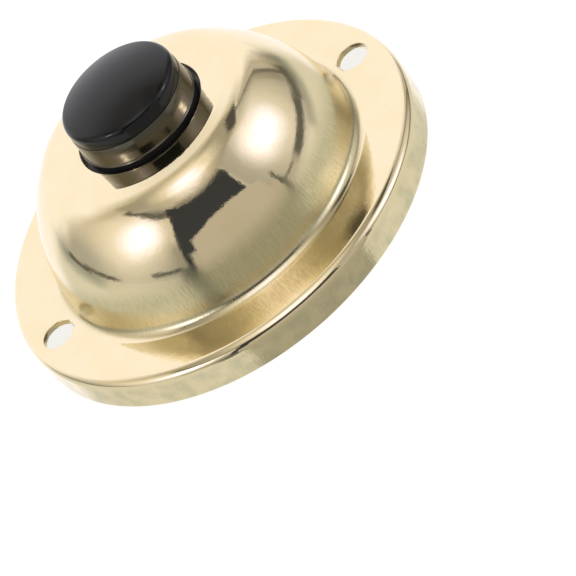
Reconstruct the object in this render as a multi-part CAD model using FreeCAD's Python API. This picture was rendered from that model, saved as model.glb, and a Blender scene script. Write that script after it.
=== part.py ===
import FreeCAD, Part
import math
import os

# Round bell push: a pressed brass cover, a sprung black button and the switch behind it.
# Millimetres. The wall is the plane Z = 0, +Z points out of it along the button's axis,
# and the two mounting holes lie on the X axis.

# Cover: skirt and flange
FLANGE_WIDTH = 8.2
FLANGE_HEIGHT = 5.0
RIM_ROUNDING = 1.3
SHEET = 0.8
SCREW_HOLE_RADIUS = 2.35

# Cover: dome and the rings round the button
DOME_FOOT_RADIUS = 23.3
FOOT_FILLET = 0.9
SHOULDER_ROUNDING = 5.2
RING_WIDTH = 3.1
RING_SLOPE = math.radians(9.0)
PLATEAU_WIDTH = 2.95
PLATEAU_HEIGHT = 21.4
CREASE_ROUNDING = 2.0

# Button
SLEEVE_RADIUS = 8.7
SLEEVE_WALL = 0.7
SLEEVE_HEIGHT = 3.3
SLEEVE_TAPER = 0.15
SLEEVE_LIP = 0.15
SLEEVE_LIP_HEIGHT = 0.25
SLEEVE_ROUNDING = 0.1
BUTTON_GAP = 0.45
CAP_INSET = 0.1
CAP_WALL_HEIGHT = 1.3
CAP_EDGE_ROUNDING = 1.0
CAP_CROWN_RISE = 1.3
CAP_SPIGOT_DEPTH = 1.9
TRAVEL = 2.0

# Plunger and its retaining clip
STOP_OVERLAP = 1.85
STOP_THICKNESS = 1.0
SHOULDER_EXPOSED = 0.5
SHOULDER_INSET = 0.25
SNAP_RADIUS = 5.0
SNAP_HEIGHT = 3.0
SNAP_ROUNDING = 0.5
GUSSET_COUNT = 4
GUSSET_THICKNESS = 1.0
GUSSET_SETBACK = 1.5
STEM_RADIUS = 1.8
STEM_TAIL = 0.8
STEM_ROUNDING = 0.5
HUB_SHOULDER = 2.2
CLIP_GROOVE_DEPTH = 0.5
CLIP_THICKNESS = 0.5
CLIP_WIDTH = 1.6
CLIP_GRIP = 0.15

# Contact bridge, insulating washer and return spring
BRIDGE_OVERLAP = 2.0
BRIDGE_THICKNESS = 0.5
BRIDGE_RIM = 0.9
BRIDGE_BEND = 0.3
WASHER_MARGIN = 0.8
WASHER_THICKNESS = 0.5
WIRE_RADIUS = 0.25
SPRING_TURNS = 5.0
SEAT_MARGIN = 1.0
SEAT_THICKNESS = 0.3

# Switch base
BASE_SETBACK = 0.3
BASE_WALL = 1.6
BASE_WALL_RISE = 2.3
BASE_FILLET = 0.6
BASE_RIM_ROUNDING = 0.4
FLOOR_BACK = 5.0
FLOOR_THICKNESS = 2.2
BOSS_WALL = 1.3
BOSS_HEIGHT = 2.3
WELL_CLEARANCE = 1.0
WELL_WALL = 1.1
WELL_SETBACK = 1.1
BARRIER_THICKNESS = 1.2
CHANNEL_RIB = 1.0
CHANNEL_RIB_HEIGHT = 1.1

# Contact strips and their rivets
STRIP_THICKNESS = 0.4
STRIP_BEND = 0.6
STRIP_RISE = 3.25
STRIP_MARGIN = 0.05
TIP_CLEARANCE = 0.2
TIP_MARGIN = 1.8
RIVET_HEAD_RADIUS = 1.2
RIVET_HEAD_HEIGHT = 0.6
RIVET_HEAD_DOME = 0.3
RIVET_SHANK_RADIUS = 0.7
RIVET_TAIL_RADIUS = 1.0
RIVET_TAIL_HEIGHT = 0.3

# Terminals
TERMINAL_GAP = 0.2
SCREW_RADIUS = 1.5
SCREW_HEAD_RADIUS = 2.75
SCREW_HEAD_HEIGHT = 2.0
SCREW_SLOT_WIDTH = 0.8
SCREW_SLOT_DEPTH = 0.9
SCREW_CHAMFER = 0.4
SCREW_END = 0.6
NUT_SIDE = 5.5
NUT_HEIGHT = 2.4
NUT_CHAMFER = 0.5
CLAMP_CLEARANCE = 0.2
CLAMP_THICKNESS = 0.6
CLAMP_LIP = 0.9

# Clearances
PUSH_FIT = 0.03
RUNNING_FIT = 0.08
LOOSE_FIT = 0.1
STOP_CLEARANCE = 0.05
CONTACT_CLEARANCE = 0.05

# Cover: radii and heights that follow from the sizes above
COVER_RADIUS = DOME_FOOT_RADIUS + FLANGE_WIDTH
FOOT_HEIGHT = FLANGE_HEIGHT + FOOT_FILLET
FLANGE_INNER_EDGE = DOME_FOOT_RADIUS + FOOT_FILLET
FLANGE_OUTER_EDGE = COVER_RADIUS - RIM_ROUNDING
SCREW_HOLE_OFFSET = (FLANGE_INNER_EDGE + FLANGE_OUTER_EDGE) / 2.0
SLEEVE_FOOT_RADIUS = SLEEVE_RADIUS + SLEEVE_TAPER + SLEEVE_LIP
HOLE_RADIUS = SLEEVE_FOOT_RADIUS + BUTTON_GAP
PLATEAU_RADIUS = HOLE_RADIUS + PLATEAU_WIDTH
DOME_CORNER_RADIUS = PLATEAU_RADIUS + RING_WIDTH
INNER_SHELL = SHEET + PUSH_FIT

# Base and contacts, from the floor outwards
FLOOR_FRONT = FLOOR_BACK + FLOOR_THICKNESS
BASE_WALL_TOP = FLOOR_FRONT + BASE_WALL_RISE
BASE_RADIUS = DOME_FOOT_RADIUS - INNER_SHELL
BASE_BORE = BASE_RADIUS - BASE_WALL
STRIP_TOP = FLOOR_FRONT + STRIP_THICKNESS
TIP_TOP = STRIP_TOP + STRIP_RISE
CONTACT_HEIGHT = TIP_TOP + RIVET_HEAD_HEIGHT
BRIDGE_UNDERSIDE = CONTACT_HEIGHT + CONTACT_CLEARANCE + TRAVEL
BRIDGE_TOP = BRIDGE_UNDERSIDE + BRIDGE_THICKNESS
WASHER_UNDERSIDE = BRIDGE_UNDERSIDE - WASHER_THICKNESS
SPRING_BOTTOM = FLOOR_FRONT + SEAT_THICKNESS

# Button and plunger, from the stem outwards
SLEEVE_BORE = SLEEVE_RADIUS - SLEEVE_WALL
CAP_RADIUS = SLEEVE_RADIUS - CAP_INSET
SPIGOT_RADIUS = SLEEVE_BORE - PUSH_FIT
SHOULDER_RADIUS = SLEEVE_FOOT_RADIUS - SHOULDER_INSET
STOP_RADIUS = HOLE_RADIUS + STOP_OVERLAP
HUB_RADIUS = STEM_RADIUS + HUB_SHOULDER
GROOVE_RADIUS = STEM_RADIUS - CLIP_GROOVE_DEPTH
CLIP_RADIUS = STEM_RADIUS + CLIP_WIDTH
STEM_BORE = STEM_RADIUS + RUNNING_FIT
SHOULDER_TOP = PLATEAU_HEIGHT + SHOULDER_EXPOSED
SLEEVE_TOP = SHOULDER_TOP + SLEEVE_HEIGHT
SPIGOT_BOTTOM = SLEEVE_TOP - CAP_SPIGOT_DEPTH
STOP_TOP = PLATEAU_HEIGHT - SHEET - STOP_CLEARANCE
STOP_UNDERSIDE = STOP_TOP - STOP_THICKNESS
CLIP_TOP = FLOOR_BACK - STOP_CLEARANCE
CLIP_UNDERSIDE = CLIP_TOP - CLIP_THICKNESS
STEM_END = CLIP_UNDERSIDE - STEM_TAIL

# Rings round the stem, from the boss outwards
BOSS_RADIUS = STEM_BORE + BOSS_WALL
SEAT_BORE = BOSS_RADIUS + LOOSE_FIT
SPRING_RADIUS = SEAT_BORE + 2.0 * WIRE_RADIUS
SPRING_OUTSIDE = SPRING_RADIUS + WIRE_RADIUS
SEAT_RADIUS = SPRING_OUTSIDE + SEAT_MARGIN
WASHER_RADIUS = SPRING_OUTSIDE + WASHER_MARGIN
RIVET_OFFSET = SEAT_RADIUS + TIP_CLEARANCE + TIP_MARGIN
BRIDGE_RADIUS = RIVET_OFFSET + BRIDGE_OVERLAP
WELL_RADIUS = CLIP_RADIUS + WELL_CLEARANCE
WELL_OUTSIDE = WELL_RADIUS + WELL_WALL

# Terminals, as far out as the corners of their clamp plates allow
STRIP_WIDTH = NUT_SIDE + 2.0 * STRIP_MARGIN
CHANNEL_HALF = STRIP_WIDTH / 2.0 + LOOSE_FIT
CLAMP_HALF = SCREW_HEAD_RADIUS + CLAMP_CLEARANCE + CLAMP_THICKNESS
CLAMP_CORNER_RADIUS = BASE_BORE - BASE_FILLET - TERMINAL_GAP
TERMINAL_OFFSET = math.sqrt(CLAMP_CORNER_RADIUS ** 2 - CLAMP_HALF ** 2) - CLAMP_HALF
STRIP_FOOT_START = TERMINAL_OFFSET - NUT_SIDE / 2.0 - STRIP_BEND - STRIP_THICKNESS
STRIP_FOOT_END = TERMINAL_OFFSET + NUT_SIDE / 2.0 + LOOSE_FIT
SCREW_BORE = SCREW_RADIUS + LOOSE_FIT


def vec(x, y, z):
    return FreeCAD.Vector(x, y, z)


def point(r, z):
    """Point of a half section, at radius r and height z."""
    return vec(r, 0.0, z)


def line(start, end):
    return Part.LineSegment(start, end).toShape()


def arc(centre, radius, start, end):
    """Arc of a half section about centre, between two angles in radians."""
    def at(angle):
        return centre + point(radius * math.cos(angle), radius * math.sin(angle))
    return Part.Arc(at(start), at((start + end) / 2.0), at(end)).toShape()


def turn(edges):
    """Solid made by turning a closed half section about the Z axis."""
    face = Part.Face(Part.Wire(Part.__sortEdges__(edges)))
    return face.revolve(vec(0, 0, 0), vec(0, 0, 1), 360)


def rounded_corner(before, corner, after, rounding):
    """Start, middle and end of the tangent arc that rounds a corner."""
    back = (before - corner).normalize()
    ahead = (after - corner).normalize()
    half = back.getAngle(ahead) / 2.0
    setback = rounding / math.tan(half)
    inward = (back + ahead).normalize()
    middle = corner + inward * (rounding / math.sin(half) - rounding)
    return corner + back * setback, middle, corner + ahead * setback


def path_edges(corners):
    """Edges through corners (r, z); a third value is the rounding of that corner."""
    edges = []
    spots = [point(corner[0], corner[1]) for corner in corners]
    here = spots[0]
    for index in range(1, len(corners) - 1):
        spot = spots[index]
        if len(corners[index]) == 2:
            edges.append(line(here, spot))
            here = spot
            continue
        rounding = corners[index][2]
        start, middle, end = rounded_corner(spots[index - 1], spot, spots[index + 1], rounding)
        edges.append(line(here, start))
        edges.append(Part.Arc(start, middle, end).toShape())
        here = end
    edges.append(line(here, spots[-1]))
    return edges


def turn_path(corners):
    """Solid made by turning the closed half section through corners; the first is a sharp one."""
    return turn(path_edges(corners + [corners[0]]))


def cylinder(radius, bottom, top, x=0.0, y=0.0):
    return Part.makeCylinder(radius, top - bottom, vec(x, y, bottom))


def tube(outer, inner, bottom, top, x=0.0):
    return cylinder(outer, bottom, top, x).cut(cylinder(inner, bottom, top, x))


def block(x, y, z):
    """Box between two limits along each of X, Y and Z, in either order."""
    low = vec(min(x), min(y), min(z))
    size = vec(max(x), max(y), max(z)) - low
    return Part.makeBox(size.x, size.y, size.z, low)


def mirrored(shape):
    """The same piece on the other side of the YZ plane."""
    return shape.mirror(vec(0, 0, 0), vec(1, 0, 0))


def dome_form():
    """Centres, radii and angles of the arcs of the dome's outer section.

    The flank rises upright from the foot and would meet the sloped ring at
    DOME_CORNER_RADIUS; the shoulder rounds that corner, tangent to both.
    """
    along = point(math.cos(RING_SLOPE), -math.sin(RING_SLOPE))
    normal = point(math.sin(RING_SLOPE), math.cos(RING_SLOPE))
    crease = point(PLATEAU_RADIUS, PLATEAU_HEIGHT - CREASE_ROUNDING)
    ring_start = crease + normal * CREASE_ROUNDING
    corner_z = ring_start.z - (DOME_CORNER_RADIUS - ring_start.x) * math.tan(RING_SLOPE)
    run = DOME_FOOT_RADIUS - DOME_CORNER_RADIUS
    rise = corner_z - FOOT_HEIGHT
    flank_radius = (run * run + rise * rise) / (2.0 * run)
    flank = point(DOME_FOOT_RADIUS - flank_radius, FOOT_HEIGHT)
    start = ring_start - normal * SHOULDER_ROUNDING - flank
    reach = flank_radius - SHOULDER_ROUNDING
    middle = start.dot(along)
    step = math.sqrt(middle * middle - start.dot(start) + reach * reach) - middle
    shoulder = flank + start + along * step
    flank_end = math.atan2(shoulder.z - flank.z, shoulder.x - flank.x)
    return flank, flank_radius, flank_end, shoulder, crease, normal


def cover_line(depth):
    """Edges of the cover's section, depth below its outer face, from skirt to button hole."""
    flank, flank_radius, flank_end, shoulder, crease, normal = dome_form()
    quarter = math.pi / 2.0
    slope = quarter - RING_SLOPE
    rim = point(FLANGE_OUTER_EDGE, FLANGE_HEIGHT - RIM_ROUNDING)
    foot = point(FLANGE_INNER_EDGE, FOOT_HEIGHT)
    skirt = COVER_RADIUS - depth
    flange = FLANGE_HEIGHT - depth
    top = PLATEAU_HEIGHT - depth
    return [
        line(point(skirt, 0.0), point(skirt, rim.z)),
        arc(rim, RIM_ROUNDING - depth, 0.0, quarter),
        line(point(rim.x, flange), point(foot.x, flange)),
        arc(foot, FOOT_FILLET + depth, 3.0 * quarter, 2.0 * quarter),
        arc(flank, flank_radius - depth, 0.0, flank_end),
        arc(shoulder, SHOULDER_ROUNDING - depth, flank_end, slope),
        line(shoulder + normal * (SHOULDER_ROUNDING - depth), crease + normal * (CREASE_ROUNDING - depth)),
        arc(crease, CREASE_ROUNDING - depth, slope, quarter),
        line(point(crease.x, top), point(HOLE_RADIUS, top)),
    ]


def cover_shell():
    """One pressed sheet: skirt, flange, dome, sloped ring and flat ring with the button hole."""
    edges = cover_line(0.0) + cover_line(SHEET)
    edges.append(line(point(HOLE_RADIUS, PLATEAU_HEIGHT), point(HOLE_RADIUS, PLATEAU_HEIGHT - SHEET)))
    edges.append(line(point(COVER_RADIUS, 0.0), point(COVER_RADIUS - SHEET, 0.0)))
    shell = turn(edges)
    for side in (-1.0, 1.0):
        hole = cylinder(SCREW_HOLE_RADIUS, 0.0, FOOT_HEIGHT, side * SCREW_HOLE_OFFSET)
        shell = shell.cut(hole)
    return shell


def button_cap():
    """Moulded cap: domed crown tangent to its rounded edge, side wall, and a socket for the plunger."""
    edge_z = SLEEVE_TOP + CAP_WALL_HEIGHT
    edge_r = CAP_RADIUS - CAP_EDGE_ROUNDING
    tilt = 2.0 * math.atan(CAP_CROWN_RISE / edge_r)
    crown_radius = edge_r / math.sin(tilt) + CAP_EDGE_ROUNDING
    crown_top = edge_z + CAP_EDGE_ROUNDING + CAP_CROWN_RISE
    crown = point(0.0, crown_top - crown_radius)
    slope = math.pi / 2.0 - tilt
    socket = SNAP_RADIUS + PUSH_FIT
    socket_top = SPIGOT_BOTTOM + SNAP_HEIGHT + LOOSE_FIT
    return turn([
        line(point(0.0, socket_top), point(0.0, crown_top)),
        arc(crown, crown_radius, math.pi / 2.0, slope),
        arc(point(edge_r, edge_z), CAP_EDGE_ROUNDING, slope, 0.0),
        line(point(CAP_RADIUS, edge_z), point(CAP_RADIUS, SLEEVE_TOP)),
        line(point(CAP_RADIUS, SLEEVE_TOP), point(SPIGOT_RADIUS, SLEEVE_TOP)),
        line(point(SPIGOT_RADIUS, SLEEVE_TOP), point(SPIGOT_RADIUS, SPIGOT_BOTTOM)),
        line(point(SPIGOT_RADIUS, SPIGOT_BOTTOM), point(socket, SPIGOT_BOTTOM)),
        line(point(socket, SPIGOT_BOTTOM), point(socket, socket_top)),
        line(point(socket, socket_top), point(0.0, socket_top)),
    ])


def button_sleeve():
    """Brass sleeve on the plunger's shoulder, a little wider towards its rolled foot."""
    waist = SLEEVE_RADIUS + SLEEVE_TAPER
    lip_top = SHOULDER_TOP + SLEEVE_LIP_HEIGHT
    return turn_path([
        (SLEEVE_BORE, SHOULDER_TOP),
        (SLEEVE_FOOT_RADIUS, SHOULDER_TOP, SLEEVE_ROUNDING),
        (SLEEVE_FOOT_RADIUS, lip_top, SLEEVE_ROUNDING),
        (waist, lip_top + SLEEVE_LIP),
        (SLEEVE_RADIUS, SLEEVE_TOP),
        (SLEEVE_BORE, SLEEVE_TOP),
    ])


def gusset():
    """One rib between the plunger's hub and the underside of its stop flange."""
    root = STEM_RADIUS
    foot = BRIDGE_TOP + BRIDGE_RIM + LOOSE_FIT
    rib = Part.Face(Part.makePolygon([
        point(root, foot),
        point(HUB_RADIUS, foot),
        point(STOP_RADIUS - GUSSET_SETBACK, STOP_UNDERSIDE),
        point(root, STOP_UNDERSIDE),
        point(root, foot),
    ])).extrude(vec(0, GUSSET_THICKNESS, 0))
    rib.translate(vec(0, -GUSSET_THICKNESS / 2.0, 0))
    return rib


def plunger():
    """Moulded plunger: snap boss, spigot, shoulder, stop flange on gussets, hub and stem."""
    snap_top = SPIGOT_BOTTOM + SNAP_HEIGHT
    body = turn_path([
        (0.0, snap_top),
        (SNAP_RADIUS, snap_top, SNAP_ROUNDING),
        (SNAP_RADIUS, SPIGOT_BOTTOM),
        (SPIGOT_RADIUS, SPIGOT_BOTTOM),
        (SPIGOT_RADIUS, SHOULDER_TOP),
        (SHOULDER_RADIUS, SHOULDER_TOP),
        (SHOULDER_RADIUS, STOP_TOP),
        (STOP_RADIUS, STOP_TOP),
        (STOP_RADIUS, STOP_UNDERSIDE, STOP_THICKNESS / 2.0),
        (HUB_RADIUS, STOP_UNDERSIDE),
        (HUB_RADIUS, BRIDGE_TOP),
        (STEM_RADIUS, BRIDGE_TOP),
        (STEM_RADIUS, CLIP_TOP),
        (GROOVE_RADIUS, CLIP_TOP),
        (GROOVE_RADIUS, CLIP_UNDERSIDE),
        (STEM_RADIUS, CLIP_UNDERSIDE),
        (STEM_RADIUS, STEM_END, STEM_ROUNDING),
        (0.0, STEM_END),
    ])
    for number in range(GUSSET_COUNT):
        rib = gusset()
        rib.rotate(vec(0, 0, 0), vec(0, 0, 1), 360.0 * (number + 0.5) / GUSSET_COUNT)
        body = body.fuse(rib)
    return body.removeSplitter()


def contact_bridge():
    """Contact disc with an upturned rim, loose on the stem below the hub."""
    inner = BRIDGE_RADIUS - BRIDGE_THICKNESS
    return turn_path([
        (STEM_BORE, BRIDGE_UNDERSIDE),
        (BRIDGE_RADIUS, BRIDGE_UNDERSIDE, BRIDGE_BEND + BRIDGE_THICKNESS),
        (BRIDGE_RADIUS, BRIDGE_TOP + BRIDGE_RIM),
        (inner, BRIDGE_TOP + BRIDGE_RIM),
        (inner, BRIDGE_TOP, BRIDGE_BEND),
        (STEM_BORE, BRIDGE_TOP),
    ])


def insulating_washer():
    return tube(WASHER_RADIUS, STEM_BORE, WASHER_UNDERSIDE, BRIDGE_UNDERSIDE)


def stem_clip():
    """Retaining clip: a ring open to -Y that grips the groove at three places."""
    clip = tube(CLIP_RADIUS, GROOVE_RADIUS + PUSH_FIT, CLIP_UNDERSIDE, CLIP_TOP)
    mouth = GROOVE_RADIUS - CLIP_GRIP
    clip = clip.cut(block((-mouth, mouth), (-CLIP_RADIUS, 0.0), (CLIP_UNDERSIDE, CLIP_TOP)))
    relief = (CLIP_RADIUS - GROOVE_RADIUS) / 3.0
    for angle in (math.radians(30.0), math.radians(150.0)):
        x = (GROOVE_RADIUS + relief / 2.0) * math.cos(angle)
        y = (GROOVE_RADIUS + relief / 2.0) * math.sin(angle)
        clip = clip.cut(cylinder(relief, CLIP_UNDERSIDE, CLIP_TOP, x, y))
    return clip


def return_spring():
    """Coil spring between its seat and the insulating washer."""
    bottom = SPRING_BOTTOM + WIRE_RADIUS
    height = WASHER_UNDERSIDE - WIRE_RADIUS - bottom
    helix = Part.makeHelix(height / SPRING_TURNS, height, SPRING_RADIUS)
    helix.translate(vec(0, 0, bottom))
    wire = Part.Wire(Part.makeCircle(WIRE_RADIUS, point(SPRING_RADIUS, bottom), vec(0, 1, 0)))
    return Part.Wire(helix.Edges).makePipeShell([wire], True, True)


def spring_seat():
    return tube(SEAT_RADIUS, SEAT_BORE, FLOOR_FRONT, SPRING_BOTTOM)


def base_body():
    """Turned form of the base: wall that follows the cover inside, floor, boss and rear well."""
    flank, flank_radius, _, _, _, _ = dome_form()
    radius = flank_radius - INNER_SHELL
    end = math.asin((BASE_WALL_TOP - FOOT_HEIGHT) / radius)
    boss_top = FLOOR_FRONT + BOSS_HEIGHT
    edges = path_edges([
        (flank.x + radius * math.cos(end), BASE_WALL_TOP),
        (BASE_BORE, BASE_WALL_TOP, BASE_RIM_ROUNDING),
        (BASE_BORE, FLOOR_FRONT, BASE_FILLET),
        (BOSS_RADIUS, FLOOR_FRONT),
        (BOSS_RADIUS, boss_top),
        (STEM_BORE, boss_top),
        (STEM_BORE, FLOOR_BACK),
        (WELL_RADIUS, FLOOR_BACK),
        (WELL_RADIUS, WELL_SETBACK),
        (WELL_OUTSIDE, WELL_SETBACK),
        (WELL_OUTSIDE, FLOOR_BACK, BASE_FILLET),
        (BASE_BORE, FLOOR_BACK, BASE_FILLET),
        (BASE_BORE, BASE_SETBACK),
        (BASE_RADIUS, BASE_SETBACK),
        (BASE_RADIUS, FOOT_HEIGHT),
    ])
    edges.append(arc(flank, radius, 0.0, end))
    return turn(edges)


def switch_base():
    """Moulded base with a barrier between the terminals and ribs that locate the strips."""
    base = base_body()
    half = BARRIER_THICKNESS / 2.0
    rib_x = (STRIP_FOOT_START, STRIP_FOOT_END)
    rib_z = (FLOOR_BACK, FLOOR_FRONT + CHANNEL_RIB_HEIGHT)
    for side in (-1.0, 1.0):
        near = side * (WELL_RADIUS + WELL_WALL / 2.0)
        far = side * (BASE_RADIUS - BASE_WALL / 2.0)
        barrier = block((-half, half), (near, far), (WELL_SETBACK, FLOOR_FRONT))
        rib_y = (side * CHANNEL_HALF, side * (CHANNEL_HALF + CHANNEL_RIB))
        rib = block(rib_x, rib_y, rib_z)
        base = base.fuse([barrier, rib, mirrored(rib)])
    for side in (-1.0, 1.0):
        base = base.cut(cylinder(SCREW_BORE, FLOOR_BACK, FLOOR_FRONT, side * TERMINAL_OFFSET))
    return base.removeSplitter()


def strip_side(spine, offset):
    """Corners of one side of a bent strip, offset to the left of its middle line."""
    runs = [(after - before).normalize() for before, after in zip(spine, spine[1:])]
    lefts = [point(-run.z, run.x) for run in runs]
    start = spine[0] + lefts[0] * offset
    end = spine[-1] + lefts[-1] * offset
    corners = [(start.x, start.z)]
    for index in range(1, len(spine) - 1):
        before = lefts[index - 1]
        after = lefts[index]
        spot = spine[index] + (before + after) * (offset / (1.0 + before.dot(after)))
        outside = before.dot(runs[index]) * offset < 0.0
        bend = STRIP_BEND + STRIP_THICKNESS if outside else STRIP_BEND
        corners.append((spot.x, spot.z, bend))
    corners.append((end.x, end.z))
    return corners


def bent_strip(spine):
    """Sheet strip of the full width, centred on the XZ plane, that follows a middle line."""
    half = STRIP_THICKNESS / 2.0
    corners = strip_side(spine, half) + strip_side(spine, -half)[::-1]
    corners.append(corners[0])
    face = Part.Face(Part.Wire(Part.__sortEdges__(path_edges(corners))))
    strip = face.extrude(vec(0, STRIP_WIDTH, 0))
    strip.translate(vec(0, -STRIP_WIDTH / 2.0, 0))
    return strip


def contact_strip():
    """Bent contact: foot under the nut, ramp, and a tip that carries the rivet."""
    half = STRIP_THICKNESS / 2.0
    strip = bent_strip([
        point(STRIP_FOOT_END, FLOOR_FRONT + half),
        point(STRIP_FOOT_START, FLOOR_FRONT + half),
        point(RIVET_OFFSET + TIP_MARGIN, TIP_TOP - half),
        point(RIVET_OFFSET - TIP_MARGIN, TIP_TOP - half),
    ])
    strip = strip.cut(cylinder(SCREW_BORE, FLOOR_FRONT, STRIP_TOP, TERMINAL_OFFSET))
    shank = cylinder(RIVET_SHANK_RADIUS + PUSH_FIT, TIP_TOP - STRIP_THICKNESS, TIP_TOP, RIVET_OFFSET)
    return strip.cut(shank)


def contact_rivet():
    """Rivet with a domed contact head above the tip and a spread tail below it."""
    tail_top = TIP_TOP - STRIP_THICKNESS
    tail_end = tail_top - RIVET_TAIL_HEIGHT
    head_edge = CONTACT_HEIGHT - RIVET_HEAD_DOME
    crown = point(RIVET_HEAD_RADIUS / 2.0, CONTACT_HEIGHT - RIVET_HEAD_DOME / 4.0)
    edges = path_edges([
        (RIVET_HEAD_RADIUS, head_edge),
        (RIVET_HEAD_RADIUS, TIP_TOP),
        (RIVET_SHANK_RADIUS, TIP_TOP),
        (RIVET_SHANK_RADIUS, tail_top),
        (RIVET_TAIL_RADIUS, tail_top),
        (RIVET_SHANK_RADIUS, tail_end),
        (0.0, tail_end),
        (0.0, CONTACT_HEIGHT),
    ])
    edges.append(Part.Arc(point(0.0, CONTACT_HEIGHT), crown, point(RIVET_HEAD_RADIUS, head_edge)).toShape())
    rivet = turn(edges)
    rivet.translate(vec(RIVET_OFFSET, 0, 0))
    return rivet


def terminal_nut():
    """Square nut with its top corners turned off."""
    half = NUT_SIDE / 2.0
    top = STRIP_TOP + NUT_HEIGHT
    corner = half * math.sqrt(2.0)
    blank = block((-half, half), (-half, half), (STRIP_TOP, top))
    turned = turn_path([
        (SCREW_RADIUS + PUSH_FIT, STRIP_TOP),
        (corner, STRIP_TOP),
        (corner, top - NUT_CHAMFER),
        (corner - 2.0 * NUT_CHAMFER, top),
        (SCREW_RADIUS + PUSH_FIT, top),
    ])
    nut = blank.common(turned)
    nut.translate(vec(TERMINAL_OFFSET, 0, 0))
    return nut


def terminal_screw():
    """Slotted cheese-head screw, with its head at the back of the base."""
    head_top = FLOOR_BACK - CLAMP_THICKNESS
    head_bottom = head_top - SCREW_HEAD_HEIGHT
    end = STRIP_TOP + NUT_HEIGHT + SCREW_END
    screw = turn_path([
        (0.0, head_bottom),
        (SCREW_HEAD_RADIUS, head_bottom, SCREW_CHAMFER),
        (SCREW_HEAD_RADIUS, head_top),
        (SCREW_RADIUS, head_top),
        (SCREW_RADIUS, end - SCREW_CHAMFER),
        (SCREW_RADIUS - SCREW_CHAMFER, end),
        (0.0, end),
    ])
    half = SCREW_SLOT_WIDTH / 2.0
    across = (-SCREW_HEAD_RADIUS, SCREW_HEAD_RADIUS)
    screw = screw.cut(block((-half, half), across, (head_bottom, head_bottom + SCREW_SLOT_DEPTH)))
    screw.translate(vec(TERMINAL_OFFSET, 0, 0))
    return screw


def clamp_plate():
    """Saddle plate under the screw head, with two edges turned towards the wall."""
    half = CLAMP_HALF
    bottom = FLOOR_BACK - CLAMP_THICKNESS
    plate = block((-half, half), (-half, half), (bottom, FLOOR_BACK))
    for side in (-1.0, 1.0):
        lip_y = (side * half, side * (half - CLAMP_THICKNESS))
        plate = plate.fuse(block((-half, half), lip_y, (bottom - CLAMP_LIP, bottom)))
    plate = plate.removeSplitter().cut(cylinder(SCREW_BORE, bottom, FLOOR_BACK))
    plate.translate(vec(TERMINAL_OFFSET, 0, 0))
    return plate


def single_pieces():
    """The pieces on the button's axis, by node name."""
    return {
        "cover_shell": cover_shell(),
        "button_cap": button_cap(),
        "button_sleeve": button_sleeve(),
        "plunger": plunger(),
        "contact_bridge": contact_bridge(),
        "insulating_washer": insulating_washer(),
        "stem_clip": stem_clip(),
        "return_spring": return_spring(),
        "spring_seat": spring_seat(),
        "switch_base": switch_base(),
    }


def paired_pieces():
    """The pieces of the two terminals, by node name."""
    pieces = {}
    makers = {
        "contact_strip": contact_strip,
        "contact_rivet": contact_rivet,
        "terminal_nut": terminal_nut,
        "terminal_screw": terminal_screw,
        "clamp_plate": clamp_plate,
    }
    for name, maker in makers.items():
        right = maker()
        pieces[name + "_right"] = right
        pieces[name + "_left"] = mirrored(right)
    return pieces


def main():
    os.makedirs("parts", exist_ok=True)
    pieces = single_pieces()
    pieces.update(paired_pieces())
    for name, shape in pieces.items():
        solids = shape.Solids
        box = shape.BoundBox
        print(name, shape.isValid(), len(solids), round(shape.Volume, 2),
              [round(v, 2) for v in (box.XMin, box.XMax, box.YMin, box.YMax, box.ZMin, box.ZMax)])
        shape.exportStep("parts/" + name + ".step")


main()
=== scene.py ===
"""Doorbell push button: the dressed pieces, their finishes, the studio and the camera.

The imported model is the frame. The cover, the cap and the sleeve are remade with finer
surfaces for their polish, and the switch behind them keeps its solids and is dressed here.
Sizes of new pieces are in millimetres and become metres where a mesh is made.
"""

import sys
import logging
import math
from dataclasses import dataclass, field
from enum import Enum

import bmesh
import bpy
from mathutils import Matrix, Vector


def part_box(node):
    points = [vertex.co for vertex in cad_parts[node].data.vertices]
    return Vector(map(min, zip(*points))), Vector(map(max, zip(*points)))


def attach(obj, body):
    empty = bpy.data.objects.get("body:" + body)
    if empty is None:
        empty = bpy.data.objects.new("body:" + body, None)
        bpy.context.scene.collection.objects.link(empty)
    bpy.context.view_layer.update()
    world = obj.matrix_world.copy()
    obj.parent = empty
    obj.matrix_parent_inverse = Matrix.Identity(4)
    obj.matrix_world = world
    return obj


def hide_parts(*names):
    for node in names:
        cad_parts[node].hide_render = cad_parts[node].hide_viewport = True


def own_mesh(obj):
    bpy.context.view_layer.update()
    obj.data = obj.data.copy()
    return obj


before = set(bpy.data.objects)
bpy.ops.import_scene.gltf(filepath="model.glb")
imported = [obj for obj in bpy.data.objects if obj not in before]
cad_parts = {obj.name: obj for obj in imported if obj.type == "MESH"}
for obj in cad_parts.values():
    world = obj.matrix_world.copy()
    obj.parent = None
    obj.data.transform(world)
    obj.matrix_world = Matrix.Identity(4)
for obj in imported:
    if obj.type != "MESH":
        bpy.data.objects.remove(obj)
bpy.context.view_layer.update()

MM = 0.001
QUARTER = math.pi / 2.0

Piece = bpy.types.Object
Socket = bpy.types.NodeSocket
Inputs = bpy.types.NodeInputs
Outputs = bpy.types.NodeOutputs
Colour = tuple[float, float, float]
Range = tuple[float, float]
SectionPoint = tuple[float, float]

log = logging.getLogger("bell_push")


class Body(Enum):
    """The two bodies that pieces ride on."""

    HOUSING = "housing"
    BUTTON = "button"


class Slot(Enum):
    """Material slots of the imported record."""

    POLISHED_BRASS = "polished_brass"
    GLOSS_BLACK = "gloss_black"
    SATIN_BLACK = "satin_black"
    BASE_MOULDING = "base_moulding"
    FIBRE = "fibre"
    CONTACT_BRASS = "contact_brass"
    CONTACT_SILVER = "contact_silver"
    SPRING_STEEL = "spring_steel"


# Mesh tools


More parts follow.
